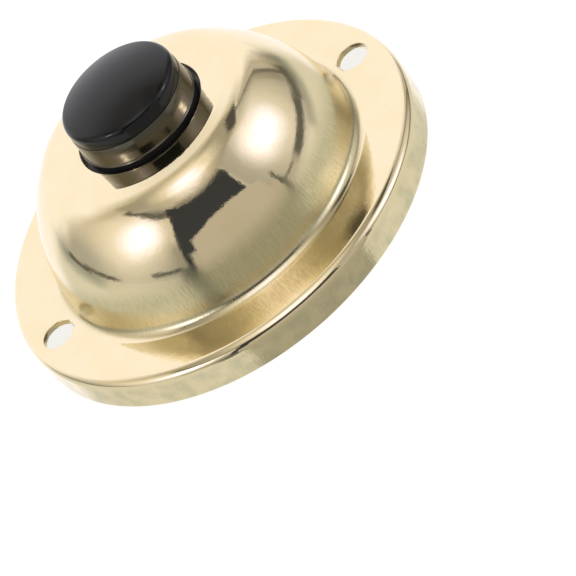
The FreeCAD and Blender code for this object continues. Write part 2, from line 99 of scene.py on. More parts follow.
def start_clean() -> None:
    """Go to object mode with nothing selected."""
    if bpy.context.object is not None and bpy.context.object.mode != "OBJECT":
        bpy.ops.object.mode_set(mode="OBJECT")
    bpy.ops.object.select_all(action="DESELECT")


def make_active(piece: Piece) -> None:
    """Select one piece alone and make it the active one.

    Args:
        piece: The piece to work on.
    """
    start_clean()
    piece.select_set(True)
    bpy.context.view_layer.objects.active = piece


def apply_modifier(piece: Piece, modifier: bpy.types.Modifier) -> None:
    """Apply one modifier to a piece."""
    make_active(piece)
    bpy.ops.object.modifier_apply(modifier=modifier.name)


@dataclass
class Section:
    """A half section in the XZ plane: points of radius and height, in millimetres."""

    points: list[SectionPoint] = field(default_factory=list)

    def to(self, radius: float, height: float) -> "Section":
        """Add a point by its radius and its height above the wall, and give the section back."""
        self.points.append((radius, height))
        return self

    def flat(self, radius: float, height: float, margin: float) -> "Section":
        """Add a straight run whose ends are held by close points, so that shading stays flat.

        Args:
            radius: Radius of the run's end.
            height: Height of the run's end.
            margin: Distance of the holding points from the run's ends.

        Returns:
            The section itself.
        """
        here = Vector(self.points[-1])
        end = Vector((radius, height))
        run = end - here
        if run.length > 2.0 * margin:
            step = run.normalized() * margin
            self.points.append(tuple(here + step))
            self.points.append(tuple(end - step))
        self.points.append((radius, height))
        return self

    def arc(self, centre: SectionPoint, radius: float, start: float, end: float, steps: int) -> "Section":
        """Add points along an arc, both ends included.

        Args:
            centre: Radius and height of the arc's centre.
            radius: The arc's own radius.
            start: First angle, in radians from the outward direction.
            end: Last angle.
            steps: Number of straight steps.

        Returns:
            The section itself.
        """
        for step in range(steps + 1):
            angle = start + (end - start) * step / steps
            self.points.append(
                (centre[0] + radius * math.cos(angle), centre[1] + radius * math.sin(angle))
            )
        return self


@dataclass(frozen=True)
class Lathe:
    """Turns half sections round the button's axis."""

    steps: int = 256
    merge_distance: float = 0.002
    crease: float = math.radians(35.0)

    def turn(self, name: str, section: Section, closed: bool) -> Piece:
        """Turn a half section into a closed piece.

        Args:
            name: Name of the new piece.
            section: Points of the half section, in order.
            closed: True if the last point joins the first, False if both lie on the axis.

        Returns:
            The new piece, at the origin, with its place in its mesh.
        """
        points = [Vector((radius * MM, 0.0, height * MM)) for radius, height in section.points]
        if closed:
            points.append(points[0])
        start_clean()
        bpy.ops.mesh.primitive_plane_add(size=MM, location=points[0])
        piece = bpy.context.object
        piece.name = name
        piece.data.name = name
        bpy.ops.object.transform_apply(location=True, rotation=False, scale=False)
        bpy.ops.object.mode_set(mode="EDIT")
        bpy.ops.mesh.select_mode(type="VERT")
        bpy.ops.mesh.select_all(action="SELECT")
        bpy.ops.mesh.merge(type="CENTER")
        here = points[0]
        for point in points[1:]:
            if (point - here).length > self.merge_distance * MM:
                bpy.ops.mesh.extrude_region_move(TRANSFORM_OT_translate={"value": point - here})
                here = point
        bpy.ops.mesh.select_all(action="SELECT")
        bpy.ops.mesh.spin(steps=self.steps, angle=2.0 * math.pi, center=(0, 0, 0), axis=(0, 0, 1))
        bpy.ops.mesh.select_all(action="SELECT")
        bpy.ops.mesh.remove_doubles(threshold=self.merge_distance * MM)
        bpy.ops.mesh.normals_make_consistent(inside=False)
        bpy.ops.object.mode_set(mode="OBJECT")
        bpy.ops.object.shade_smooth_by_angle(angle=self.crease)
        return piece


def settle(piece: Piece, body: Body, slot: Slot, *nodes: str) -> None:
    """Put a finished piece on its body and let it stand for its solids.

    Args:
        piece: The finished piece.
        body: The body that it rides on.
        slot: The record's material slot; not used.
        *nodes: The solids that it replaces.
    """
    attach(piece, body.value)
    if nodes:
        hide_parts(*nodes)
    log.info("%s: %d faces, on %s", piece.name, len(piece.data.polygons), body.value)


# Shared effects


class NodeSheet:
    """A node tree with short calls to add nodes and links."""

    def __init__(self, tree: bpy.types.NodeTree) -> None:
        """Start on an emptied tree."""
        self.tree = tree
        tree.nodes.clear()

    def node(self, kind: str, **values: object) -> bpy.types.Node:
        """Add a node and set its own properties.

        Args:
            kind: Blender's name of the node.
            **values: Properties of the node.

        Returns:
            The new node.
        """
        new = self.tree.nodes.new(kind)
        for name, value in values.items():
            setattr(new, name, value)
        return new

    def feed(self, target: Socket, value: object) -> None:
        """Link or set a socket.

        Args:
            target: An input socket.
            value: An output socket to link, or a value to set.
        """
        if isinstance(value, Socket):
            self.tree.links.new(value, target)
        elif value is not None:
            target.default_value = value

    def math(self, operation: str, *inputs: object) -> Socket:
        """Add a Math node.

        Args:
            operation: The node's operation.
            *inputs: Sockets or numbers.

        Returns:
            Its value.
        """
        new = self.node("ShaderNodeMath", operation=operation)
        for socket, value in zip(new.inputs, inputs):
            self.feed(socket, value)
        return new.outputs[0]

    def vector(self, operation: str, *inputs: object) -> bpy.types.Node:
        """Add a Vector Math node.

        Args:
            operation: The node's operation.
            *inputs: Sockets, vectors or None for a socket that stays as it is.

        Returns:
            The node itself, for its vector or its value.
        """
        new = self.node("ShaderNodeVectorMath", operation=operation)
        for socket, value in zip(new.inputs, inputs):
            self.feed(socket, value)
        return new

    def ramp(self, value: object, low: object, high: object, start: object, end: object) -> Socket:
        """Add a smooth Map Range node.

        Args:
            value: What is mapped.
            low: Value that gives start.
            high: Value that gives end.
            start: First result.
            end: Last result.

        Returns:
            The mapped value.
        """
        new = self.node("ShaderNodeMapRange", interpolation_type="SMOOTHSTEP")
        for socket, given in zip(new.inputs, (value, low, high, start, end)):
            self.feed(socket, given)
        return new.outputs[0]

    def noise(self, place: object, scale: object, detail: float) -> Socket:
        """Add a Noise Texture.

        Args:
            place: Where the noise is read.
            scale: Its scale.
            detail: Its detail.

        Returns:
            The noise, about 0.5.
        """
        new = self.node("ShaderNodeTexNoise")
        self.feed(new.inputs["Vector"], place)
        self.feed(new.inputs["Scale"], scale)
        new.inputs["Detail"].default_value = detail
        return new.outputs["Fac"]

    def mix(self, factor: object, first: object, second: object) -> Socket:
        """Mix two colours.

        Args:
            factor: Share of the second colour.
            first: The first colour.
            second: The second colour.

        Returns:
            The mixed colour.
        """
        new = self.node("ShaderNodeMix", data_type="RGBA")
        self.feed(new.inputs["Factor"], factor)
        self.feed(new.inputs["A"], as_rgba(first))
        self.feed(new.inputs["B"], as_rgba(second))
        return new.outputs["Result"]


def as_rgba(colour: object) -> object:
    """Give a plain colour its fourth value.

    Args:
        colour: A socket or three numbers.

    Returns:
        The socket, or four numbers.
    """
    if isinstance(colour, Socket):
        return colour
    return (*colour, 1.0)


def numbers(*names: str) -> dict[str, str]:
    """Give the kind of some number sockets."""
    return dict.fromkeys(names, "NodeSocketFloat")


def vectors(*names: str) -> dict[str, str]:
    """Give the kind of some vector sockets."""
    return dict.fromkeys(names, "NodeSocketVector")


class Effect:
    """A shader node group that several finishes use, built once."""

    name = "Effect"
    inputs: dict[str, str] = {}
    outputs: dict[str, str] = {}

    def tree(self) -> bpy.types.NodeTree:
        """Give the group, and build it at its first use.

        Returns:
            The node group.
        """
        existing = bpy.data.node_groups.get(self.name)
        if existing is not None:
            return existing
        group = bpy.data.node_groups.new(self.name, "ShaderNodeTree")
        sheet = NodeSheet(group)
        for name, kind in self.inputs.items():
            group.interface.new_socket(name=name, in_out="INPUT", socket_type=kind)
        for name, kind in self.outputs.items():
            group.interface.new_socket(name=name, in_out="OUTPUT", socket_type=kind)
        source = sheet.node("NodeGroupInput").outputs
        self.build(sheet, source, sheet.node("NodeGroupOutput").inputs)
        return group

    def build(self, sheet: NodeSheet, source: Outputs, result: Inputs) -> None:
        """Fill the group.

        Args:
            sheet: The group's node sheet.
            source: The group's inputs.
            result: The group's outputs.
        """
        raise NotImplementedError

    def place(self, sheet: NodeSheet, **values: object) -> Outputs:
        """Use the effect in a material.

        Args:
            sheet: The material's node sheet.
            **values: Inputs, with underscores for the spaces in their names.

        Returns:
            The group's outputs.
        """
        new = sheet.node("ShaderNodeGroup", node_tree=self.tree())
        for name, value in values.items():
            sheet.feed(new.inputs[name.replace("_", " ")], value)
        return new.outputs


class Waviness(Effect):
    """Slow and fine waves of pressed and polished sheet, as a height in metres."""

    name = "Sheet Waviness"
    inputs = vectors("Place") | numbers("Slow Scale", "Slow Height", "Fine Scale", "Fine Height")
    outputs = numbers("Height")

    def build(self, sheet: NodeSheet, source: Outputs, result: Inputs) -> None:
        """Add a slow and a fine noise, each with its own height.

        Args:
            sheet: The group's node sheet.
            source: The group's inputs.
            result: The group's outputs.
        """
        slow = sheet.noise(source["Place"], source["Slow Scale"], 1.0)
        fine = sheet.noise(source["Place"], source["Fine Scale"], 2.0)
        total = sheet.math(
            "ADD",
            sheet.math("MULTIPLY", slow, source["Slow Height"]),
            sheet.math("MULTIPLY", fine, source["Fine Height"]),
        )
        sheet.feed(result["Height"], total)


class DrawMarks(Effect):
    """Fine marks that run up the wall of a drawn cup, from its foot to a height where they fade."""

    name = "Draw Marks"
    inputs = vectors("Place") | numbers("Marks Round", "Marks Up", "Foot", "Low", "High", "Height")
    outputs = numbers("Height", "Mask")
    foot_fade = 0.0006
    contrast = (0.3, 0.7, 0.6, 1.0)

    def build(self, sheet: NodeSheet, source: Outputs, result: Inputs) -> None:
        """Read a noise on the angle round the axis and the height.

        Args:
            sheet: The group's node sheet.
            source: The group's inputs.
            result: The group's outputs.
        """
        split = sheet.node("ShaderNodeSeparateXYZ")
        sheet.feed(split.inputs[0], source["Place"])
        z = split.outputs["Z"]
        round_axis = sheet.vector("NORMALIZE", sheet.vector("MULTIPLY", source["Place"], (1.0, 1.0, 0.0)).outputs[0])
        scaled = sheet.vector("SCALE", round_axis.outputs[0])
        sheet.feed(scaled.inputs["Scale"], source["Marks Round"])
        join = sheet.node("ShaderNodeCombineXYZ")
        sheet.feed(join.inputs["Z"], sheet.math("MULTIPLY", z, source["Marks Up"]))
        place = sheet.vector("ADD", scaled.outputs[0], join.outputs[0]).outputs[0]
        marks = sheet.noise(place, 1.0, 2.0)
        fade = sheet.ramp(z, source["Low"], source["High"], 1.0, 0.0)
        above = sheet.ramp(z, source["Foot"], sheet.math("ADD", source["Foot"], self.foot_fade), 0.0, 1.0)
        share = sheet.math("MULTIPLY", fade, above)
        marked = sheet.math("MULTIPLY", marks, share)
        sheet.feed(result["Height"], sheet.math("MULTIPLY", marked, source["Height"]))
        sheet.feed(result["Mask"], sheet.math("MULTIPLY", share, sheet.ramp(marks, *self.contrast)))


class Blotches(Effect):
    """Slow uneven patches between two values."""

    name = "Blotches"
    inputs = vectors("Place") | numbers("Scale", "Low", "High")
    outputs = numbers("Value")
    stretch = (0.32, 0.68)

    def build(self, sheet: NodeSheet, source: Outputs, result: Inputs) -> None:
        """Stretch a noise between the two values.

        Args:
            sheet: The group's node sheet.
            source: The group's inputs.
            result: The group's outputs.
        """
        noise = sheet.noise(source["Place"], source["Scale"], 3.0)
        sheet.feed(result["Value"], sheet.ramp(noise, *self.stretch, source["Low"], source["High"]))


class Specks(Effect):
    """Scattered pits or grains of dust, as a mask."""

    name = "Specks"
    inputs = vectors("Place") | numbers("Scale", "Size", "Share")
    outputs = numbers("Mask")
    least_size = 0.3

    def build(self, sheet: NodeSheet, source: Outputs, result: Inputs) -> None:
        """Keep a share of the cells, and mark each kept cell's middle.

        Args:
            sheet: The group's node sheet.
            source: The group's inputs.
            result: The group's outputs.
        """
        cells = sheet.node("ShaderNodeTexVoronoi", feature="F1")
        sheet.feed(cells.inputs["Vector"], source["Place"])
        sheet.feed(cells.inputs["Scale"], source["Scale"])
        split = sheet.node("ShaderNodeSeparateColor")
        sheet.feed(split.inputs[0], cells.outputs["Color"])
        size = sheet.math("MULTIPLY", source["Size"], sheet.math("ADD", split.outputs[1], self.least_size))
        spot = sheet.ramp(cells.outputs["Distance"], 0.0, size, 1.0, 0.0)
        kept = sheet.math("LESS_THAN", split.outputs[0], source["Share"])
        sheet.feed(result["Mask"], sheet.math("MULTIPLY", spot, kept))


class TurnedLines(Effect):
    """Fine rings left by turning or drawing, round the button's axis or along another."""

    name = "Turned Lines"
    inputs = vectors("Place", "Across") | numbers("Height")
    outputs = numbers("Height", "Value")

    def build(self, sheet: NodeSheet, source: Outputs, result: Inputs) -> None:
        """Read a noise that is squeezed across the lines and long along them.

        Args:
            sheet: The group's node sheet.
            source: The group's inputs.
            result: The group's outputs.
        """
        place = sheet.vector("MULTIPLY", source["Place"], source["Across"]).outputs[0]
        lines = sheet.noise(place, 1.0, 3.0)
        sheet.feed(result["Value"], lines)
        sheet.feed(result["Height"], sheet.math("MULTIPLY", lines, source["Height"]))


WAVINESS = Waviness()
DRAW_MARKS = DrawMarks()
BLOTCHES = Blotches()
SPECKS = Specks()
TURNED_LINES = TurnedLines()


def blotches(sheet: NodeSheet, place: Socket, scale: float, low: float = 0.0, high: float = 1.0) -> Socket:
    """Give slow uneven patches between two values."""
    return BLOTCHES.place(sheet, Place=place, Scale=scale, Low=low, High=high)["Value"]


def specks(sheet: NodeSheet, place: Socket, scale: float, size: float, share: float) -> Socket:
    """Give the mask of scattered specks."""
    return SPECKS.place(sheet, Place=place, Scale=scale, Size=size, Share=share)["Mask"]


# Finishes


@dataclass(frozen=True)
class Finish:
    """A finish with its own colour, gloss and relief.

    A wave is given by its scale and its height in metres, the gloss's swing by two shares of
    the roughness.
    """

    name: str
    colour: Colour
    metallic: float
    roughness: float
    specular: float = 0.5
    anisotropy: float = 0.0
    patch_scale: float = 350.0
    patch_dark: float = 0.9
    gloss_scale: float = 500.0
    gloss_swing: Range = (0.8, 1.25)
    slow_wave: Range = (400.0, 4e-6)
    fine_wave: Range = (4000.0, 1e-6)

    def material(self) -> bpy.types.Material:
        """Give the material, and build it at its first use.

        Returns:
            The material.
        """
        existing = bpy.data.materials.get(self.name)
        if existing is not None:
            return existing
        made = bpy.data.materials.new(self.name)
        made.use_nodes = True
        sheet = NodeSheet(made.node_tree)
        shader = sheet.node("ShaderNodeBsdfPrincipled")
        shader.inputs["Metallic"].default_value = self.metallic
        shader.inputs["Specular IOR Level"].default_value = self.specular
        if self.anisotropy:
            shader.inputs["Anisotropic"].default_value = self.anisotropy
            tangent = sheet.node("ShaderNodeTangent", direction_type="RADIAL", axis="Z")
            sheet.feed(shader.inputs["Tangent"], tangent.outputs[0])
        place = sheet.node("ShaderNodeTexCoord").outputs["Object"]
        self.colouring(sheet, place, shader.inputs["Base Color"])
        self.gloss(sheet, place, shader.inputs["Roughness"])
        height = self.relief(sheet, place)
        bump = sheet.node("ShaderNodeBump")
        bump.inputs["Strength"].default_value = 1.0
        bump.inputs["Distance"].default_value = 1.0
        sheet.feed(bump.inputs["Height"], height)
        sheet.feed(shader.inputs["Normal"], bump.outputs[0])
        sheet.feed(sheet.node("ShaderNodeOutputMaterial").inputs["Surface"], shader.outputs[0])
        made.diffuse_color = (*self.colour, 1.0)
        return made

    def colouring(self, sheet: NodeSheet, place: Socket, target: Socket) -> None:
        """Feed the base colour, slightly uneven.

        Args:
            sheet: The material's node sheet.
            place: Object coordinates.
            target: The socket to feed.
        """
        sheet.feed(target, self.patched(sheet, place))

    def patched(self, sheet: NodeSheet, place: Socket) -> Socket:
        """Give the finish's colour in slightly uneven patches."""
        darker = tuple(self.patch_dark * part for part in self.colour)
        return sheet.mix(blotches(sheet, place, self.patch_scale), darker, self.colour)

    def gloss(self, sheet: NodeSheet, place: Socket, target: Socket) -> None:
        """Feed the roughness, slightly uneven.

        Args:
            sheet: The material's node sheet.
            place: Object coordinates.
            target: The socket to feed.
        """
        sheet.feed(target, self.polish(sheet, place))

    def polish(self, sheet: NodeSheet, place: Socket) -> Socket:
        """Give the roughness in slightly uneven patches."""
        low, high = (self.roughness * share for share in self.gloss_swing)
        return blotches(sheet, place, self.gloss_scale, low, high)

    def relief(self, sheet: NodeSheet, place: Socket) -> Socket:
        """Give the height of the surface's own relief, in metres.

        Args:
            sheet: The material's node sheet.
            place: Object coordinates.

        Returns:
            The height.
        """
        return WAVINESS.place(
            sheet, Place=place, Slow_Scale=self.slow_wave[0], Slow_Height=self.slow_wave[1],
            Fine_Scale=self.fine_wave[0], Fine_Height=self.fine_wave[1],
        )["Height"]


@dataclass(frozen=True)
class PolishedBrass(Finish):
    """Pressed sheet, polished and lacquered: wavy, with draw marks on its walls and a little dust."""

    patch_scale: float = 220.0
    gloss_scale: float = 300.0
    gloss_swing: Range = (0.7, 1.4)
    slow_wave: Range = (700.0, 9e-6)
    fine_wave: Range = (3200.0, 3.6e-6)
    cloud_scale: float = 420.0
    cloud_share: float = 0.8
    speck_scale: float = 420.0
    speck_size: float = 0.055
    speck_share: float = 0.05
    flank_foot: float = 0.0050
    flank_low: float = 0.0098
    flank_high: float = 0.0128
    skirt_foot: float = -0.001
    skirt_low: float = 0.0030
    skirt_high: float = 0.0042
    marks_round: float = 150.0
    marks_up: float = 700.0
    marks_height: float = 9e-6
    marks_roughness: float = 0.22
    skirt_relief: float = 0.8
    skirt_dullness: float = 0.4
    tarnish: Colour = (0.985, 0.97, 0.93)
    dust: Colour = (0.30, 0.26, 0.18)
    # Painted shade: olive laid over the draw marks in the crease at the dome's foot.
    painted_crease_shade: Colour = (0.66, 0.59, 0.36)
    # Olive clouds over the skirt, full below 3 mm and fading out by 4.2 mm.
    skirt_olive: Colour = (0.66, 0.61, 0.42)

    def colouring(self, sheet: NodeSheet, place: Socket, target: Socket) -> None:
        """Feed the pale gold with painted shade in olive over the draw marks at the dome's foot, olive clouds on the
        skirt and a few dark specks.

        Args:
            sheet: The material's node sheet.
            place: Object coordinates.
            target: The socket to feed.
        """
        dulled = tuple(part * share for part, share in zip(self.colour, self.tarnish))
        gold = sheet.mix(blotches(sheet, place, self.patch_scale), dulled, self.colour)
        flank, skirt = self.walls(sheet, place)
        # Painted shade in the crease at the dome's foot, strongest where the draw marks are.
        gold = sheet.mix(flank["Mask"], gold, self.painted_crease_shade)
        clouds = blotches(sheet, place, self.cloud_scale, high=self.cloud_share)
        gold = sheet.mix(sheet.math("MULTIPLY", skirt["Mask"], clouds), gold, self.skirt_olive)
        grains = specks(sheet, place, self.speck_scale, self.speck_size, self.speck_share)
        sheet.feed(target, sheet.mix(grains, gold, self.dust))

    def walls(self, sheet: NodeSheet, place: Socket) -> tuple[Outputs, ...]:
        """Place the draw marks of the dome's lower flank and of the skirt.

        Args:
            sheet: The material's node sheet.
            place: Object coordinates.

        Returns:
            The outputs of both sets of marks.
        """
        flank = (self.flank_foot, self.flank_low, self.flank_high, self.marks_height)
        skirt = (self.skirt_foot, self.skirt_low, self.skirt_high, self.skirt_relief * self.marks_height)
        return tuple(
            DRAW_MARKS.place(
                sheet, Place=place, Marks_Round=self.marks_round, Marks_Up=self.marks_up,
                Foot=foot, Low=low, High=high, Height=height,
            )
            for foot, low, high, height in (flank, skirt)
        )

    def gloss(self, sheet: NodeSheet, place: Socket, target: Socket) -> None:
        """Feed the polish, duller where the draw marks are.

        Args:
            sheet: The material's node sheet.
            place: Object coordinates.
            target: The socket to feed.
        """
        flank, skirt = self.walls(sheet, place)
        dull = sheet.math("ADD", flank["Mask"], sheet.math("MULTIPLY", skirt["Mask"], self.skirt_dullness))
        rougher = sheet.math("MULTIPLY", dull, self.marks_roughness)
        sheet.feed(target, sheet.math("ADD", self.polish(sheet, place), rougher))

    def relief(self, sheet: NodeSheet, place: Socket) -> Socket:
        """Give the height of the waves and of the draw marks."""
        flank, skirt = self.walls(sheet, place)
        marks = sheet.math("ADD", flank["Height"], skirt["Height"])
        return sheet.math("ADD", super().relief(sheet, place), marks)


@dataclass(frozen=True)
class TurnedMetal(Finish):
    """Metal with fine lines: rings on turned work, straight lines on rolled or drawn stock."""

    slow_wave: Range = (500.0, 6e-6)
    fine_wave: Range = (3000.0, 0.8e-6)
    gloss_swing: Range = (0.5, 1.5)
    across: tuple[float, float, float] = (60.0, 60.0, 9000.0)
    line_height: float = 1.5e-6
    contrast: Range = (0.3, 0.7)

    def gloss(self, sheet: NodeSheet, place: Socket, target: Socket) -> None:
        """Feed a roughness that follows the lines.

        Args:
            sheet: The material's node sheet.
            place: Object coordinates.
            target: The socket to feed.
        """
        lines = TURNED_LINES.place(sheet, Place=place, Across=self.across, Height=0.0)["Value"]
        low, high = (self.roughness * share for share in self.gloss_swing)
        sheet.feed(target, sheet.ramp(lines, *self.contrast, low, high))

    def relief(self, sheet: NodeSheet, place: Socket) -> Socket:
        """Give the height of the lines on slow waves."""
        lines = TURNED_LINES.place(sheet, Place=place, Across=self.across, Height=self.line_height)["Height"]
        return sheet.math("ADD", lines, super().relief(sheet, place))


@dataclass(frozen=True)
class MouldedPlastic(Finish):
    """Moulded plastic: slow flow waves, a fine grain and a few light scuffs."""

    patch_scale: float = 260.0
    patch_dark: float = 0.75
    slow_wave: Range = (300.0, 3e-6)
    fine_wave: Range = (5000.0, 1.5e-6)
    speck_scale: float = 700.0
    speck_size: float = 0.05
    speck_share: float = 0.07
    scuff: Colour = (0.05, 0.05, 0.05)

    def colouring(self, sheet: NodeSheet, place: Socket, target: Socket) -> None:
        """Feed the moulded colour with scattered light specks of dust."""
        dust = specks(sheet, place, self.speck_scale, self.speck_size, self.speck_share)
        sheet.feed(target, sheet.mix(dust, self.patched(sheet, place), self.scuff))


POLISHED_BRASS = PolishedBrass("polished_brass_sheet", (0.950, 0.815, 0.560), 1.0, 0.045)
CUT_BRASS = TurnedMetal("punched_brass_edge", (0.86, 0.74, 0.50), 1.0, 0.28, across=(500.0, 500.0, 9000.0))
# Satin brass, its colour darkened far below any brass: painted shade for the dark studio that the tube mirrors.
SLEEVE_BRASS_WITH_PAINTED_SHADE = TurnedMetal(
    "satin_brass_tube_with_painted_shade", (0.13, 0.121, 0.099), 1.0, 0.14, anisotropy=0.6, across=(90.0, 90.0, 7000.0), line_height=0.3e-6
)
GLOSS_BLACK = MouldedPlastic(
    "gloss_black_cap", (0.010, 0.0096, 0.0104), 0.0, 0.07, specular=0.32, fine_wave=(5000.0, 0.25e-6)
)
SATIN_BLACK = MouldedPlastic("satin_black_plunger", (0.020, 0.020, 0.020), 0.0, 0.38)
BASE_MOULDING = MouldedPlastic("black_base_moulding", (0.030, 0.028, 0.026), 0.0, 0.34, fine_wave=(5000.0, 2.5e-6))
RED_FIBRE = MouldedPlastic(
    "red_fibre", (0.36, 0.13, 0.08), 0.0, 0.62, fine_wave=(2500.0, 6e-6), scuff=(0.48, 0.25, 0.18)
)
CONTACT_BRASS = TurnedMetal("rolled_contact_brass", (0.83, 0.67, 0.38), 1.0, 0.24, across=(120.0, 4500.0, 300.0))
CONTACT_SILVER = TurnedMetal("contact_silver", (0.90, 0.90, 0.87), 1.0, 0.22, across=(2500.0, 2500.0, 300.0))
SPRING_STEEL = TurnedMetal("drawn_spring_steel", (0.62, 0.62, 0.60), 1.0, 0.26, across=(400.0, 400.0, 5000.0))


def dress(node: str, finish: Finish) -> None:
    """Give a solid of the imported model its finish.

    Args:
        node: Name of the solid.
        finish: Its finish.
    """
    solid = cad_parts[node]
    solid.data.materials.clear()
    solid.data.materials.append(finish.material())
    log.info("%s: %s", node, finish.name)


# Sub-assemblies


@dataclass(frozen=True)
class DomeFoot:
    """How one face of the sheet rises from the flange: a fillet, then a straight wall that leans in."""

    radius: float
    fillet: float
    lean: float
    wall_top: float

    def fillet_centre(self, flange_height: float) -> Vector:
        """Give the radius and height of the fillet's centre."""
        return Vector((self.radius + self.fillet * math.cos(self.lean), flange_height + self.fillet))

    def wall_end(self, flange_height: float) -> Vector:
        """Give the radius and height of the straight wall's top."""
        low = flange_height + self.fillet * (1.0 - math.sin(self.lean))
        return Vector((self.radius - (self.wall_top - low) * math.tan(self.lean), self.wall_top))


@dataclass
class CoverShell:
    """Pressed cover: skirt, rounded rim, flange with two holes, dome, sloped ring and button hole."""

    skirt_radius: float
    front_foot: DomeFoot = DomeFoot(radius=23.3, fillet=1.6, lean=math.radians(11.5), wall_top=9.0)
    rear_foot: DomeFoot = DomeFoot(radius=23.3, fillet=0.9, lean=0.0, wall_top=5.9)
    flange_height: float = 5.0
    rim_rounding: float = 1.3
    sheet: float = 0.8
    shoulder_rounding: float = 5.2
    ring_slope: float = math.radians(9.0)
    dome_corner_radius: float = 15.5
    plateau_radius: float = 12.4
    plateau_height: float = 21.4
    crease_rounding: float = 2.0
    hole_radius: float = 9.45
    screw_hole_radius: float = 2.35
    screw_hole_place: float = 27.2
    edge_break: float = 0.12
    hold: float = 0.05
    rim_steps: int = 14
    fillet_steps: int = 18
    flank_steps: int = 32
    shoulder_steps: int = 18
    crease_steps: int = 5
    break_steps: int = 3
    rear_fineness: float = 0.5
    punch_sides: int = 96
    punch_length: float = 8.0
    touch: float = 0.01
    lathe: Lathe = field(default_factory=Lathe)

    def dome_arcs(self, foot: DomeFoot) -> tuple[Vector, float, float, Vector, Vector, Vector]:
        """Work out the tangent arcs of the dome's section.

        Args:
            foot: The dome's foot, where the flank's arc starts.

        Returns:
            Flank centre, flank radius, flank end angle, shoulder centre, crease centre
            and the ring's normal.
        """
        along = Vector((math.cos(self.ring_slope), -math.sin(self.ring_slope)))
        normal = Vector((math.sin(self.ring_slope), math.cos(self.ring_slope)))
        crease = Vector((self.plateau_radius, self.plateau_height - self.crease_rounding))
        ring_start = crease + normal * self.crease_rounding
        corner_z = ring_start.y - (self.dome_corner_radius - ring_start.x) * math.tan(self.ring_slope)
        wall_end = foot.wall_end(self.flange_height)
        chord = Vector((wall_end.x - self.dome_corner_radius, corner_z - wall_end.y))
        bend = math.atan2(chord.x, chord.y) - foot.lean
        flank_radius = chord.length / (2.0 * math.sin(bend))
        flank = wall_end - Vector((math.cos(foot.lean), math.sin(foot.lean))) * flank_radius
        start = ring_start - normal * self.shoulder_rounding - flank
        reach = flank_radius - self.shoulder_rounding
        middle = start.dot(along)
        step = math.sqrt(middle * middle - start.dot(start) + reach * reach) - middle
        shoulder = flank + start + along * step
        flank_end = math.atan2(shoulder.y - flank.y, shoulder.x - flank.x)
        return flank, flank_radius, flank_end, shoulder, crease, normal

    def face_line(self, foot: DomeFoot, depth: float, fineness: float) -> list[SectionPoint]:
        """Trace one face of the sheet from the skirt's edge to the button hole.

        Args:
            foot: The dome's foot on this face.
            depth: Distance below the outer face.
            fineness: Share of the full number of steps on each arc.

        Returns:
            Points of radius and height.
        """
        flank, flank_radius, flank_end, shoulder, crease, normal = self.dome_arcs(foot)
        slope = QUARTER - self.ring_slope
        rim = (self.skirt_radius - self.rim_rounding, self.flange_height - self.rim_rounding)
        fillet = foot.fillet_centre(self.flange_height)
        wall_end = flank + Vector((math.cos(foot.lean), math.sin(foot.lean))) * (flank_radius - depth)
        crease_radius = self.crease_rounding - depth
        ring_end = crease + normal * crease_radius
        top = self.plateau_height - depth

        def steps(count: int) -> int:
            """Scale a number of steps and keep at least three."""
            return max(3, round(count * fineness))

        line = Section([(self.skirt_radius - depth, self.edge_break)])
        line.flat(self.skirt_radius - depth, rim[1], self.hold)
        line.arc(rim, self.rim_rounding - depth, 0.0, QUARTER, steps(self.rim_steps))
        line.flat(fillet.x, self.flange_height - depth, self.hold)
        fillet_end = 2.0 * QUARTER + foot.lean
        line.arc(tuple(fillet), foot.fillet + depth, 3.0 * QUARTER, fillet_end, steps(self.fillet_steps))
        line.flat(wall_end.x, wall_end.y, self.hold)
        line.arc(tuple(flank), flank_radius - depth, foot.lean, flank_end, steps(self.flank_steps))
        line.arc(tuple(shoulder), self.shoulder_rounding - depth, flank_end, slope, steps(self.shoulder_steps))
        line.flat(ring_end.x, ring_end.y, self.hold)
        line.arc(tuple(crease), crease_radius, slope, QUARTER, steps(self.crease_steps))
        line.flat(self.hole_radius + self.edge_break, top, self.hold)
        return line.points

    def bore(self, piece: Piece, x: float) -> None:
        """Punch a screw hole and break its front edge.

        Args:
            piece: The cover.
            x: Place of the hole along X.
        """
        start_clean()
        bpy.ops.mesh.primitive_cylinder_add(
            vertices=self.punch_sides, radius=self.screw_hole_radius * MM, depth=self.punch_length * MM,
            location=(x * MM, 0.0, self.punch_length / 2.0 * MM),
        )
        punch = bpy.context.object
        cut = piece.modifiers.new("screw_hole", "BOOLEAN")
        cut.operation = "DIFFERENCE"
        cut.solver = "EXACT"
        cut.object = punch
        apply_modifier(piece, cut)
        bpy.data.objects.remove(punch)
        self.break_edge(piece, x)

    def break_edge(self, piece: Piece, x: float) -> None:
        """Round the front edge of a screw hole.

        Args:
            piece: The cover.
            x: Place of the hole along X.
        """
        make_active(piece)
        bpy.ops.object.mode_set(mode="EDIT")
        bpy.ops.mesh.select_mode(type="EDGE")
        bpy.ops.mesh.select_all(action="DESELECT")
        form = bmesh.from_edit_mesh(piece.data)
        centre = Vector((x * MM, 0.0))

        def on_rim(corner: bmesh.types.BMVert) -> bool:
            """Tell whether a corner lies on the hole's front rim."""
            aside = abs((corner.co.xy - centre).length / MM - self.screw_hole_radius)
            return aside < self.touch and abs(corner.co.z / MM - self.flange_height) < self.touch

        for edge in form.edges:
            edge.select_set(all(on_rim(corner) for corner in edge.verts))
        bmesh.update_edit_mesh(piece.data)
        bpy.ops.mesh.bevel(offset=self.edge_break * MM, segments=self.break_steps, affect="EDGES")
        bpy.ops.object.mode_set(mode="OBJECT")

    def mark_cut_faces(self, piece: Piece) -> None:
        """Give the walls of the punched holes the cut edge's finish.

        Args:
            piece: The cover.
        """
        punched = self.screw_hole_radius + self.edge_break
        for face in piece.data.polygons:
            place = (face.center / MM).xy
            upright = abs(face.normal.z) < 0.5
            near_screw = (Vector((abs(place.x) - self.screw_hole_place, place.y))).length < punched
            in_button_hole = place.length < self.hole_radius + self.touch
            if upright and (near_screw or in_button_hole):
                face.material_index = 1

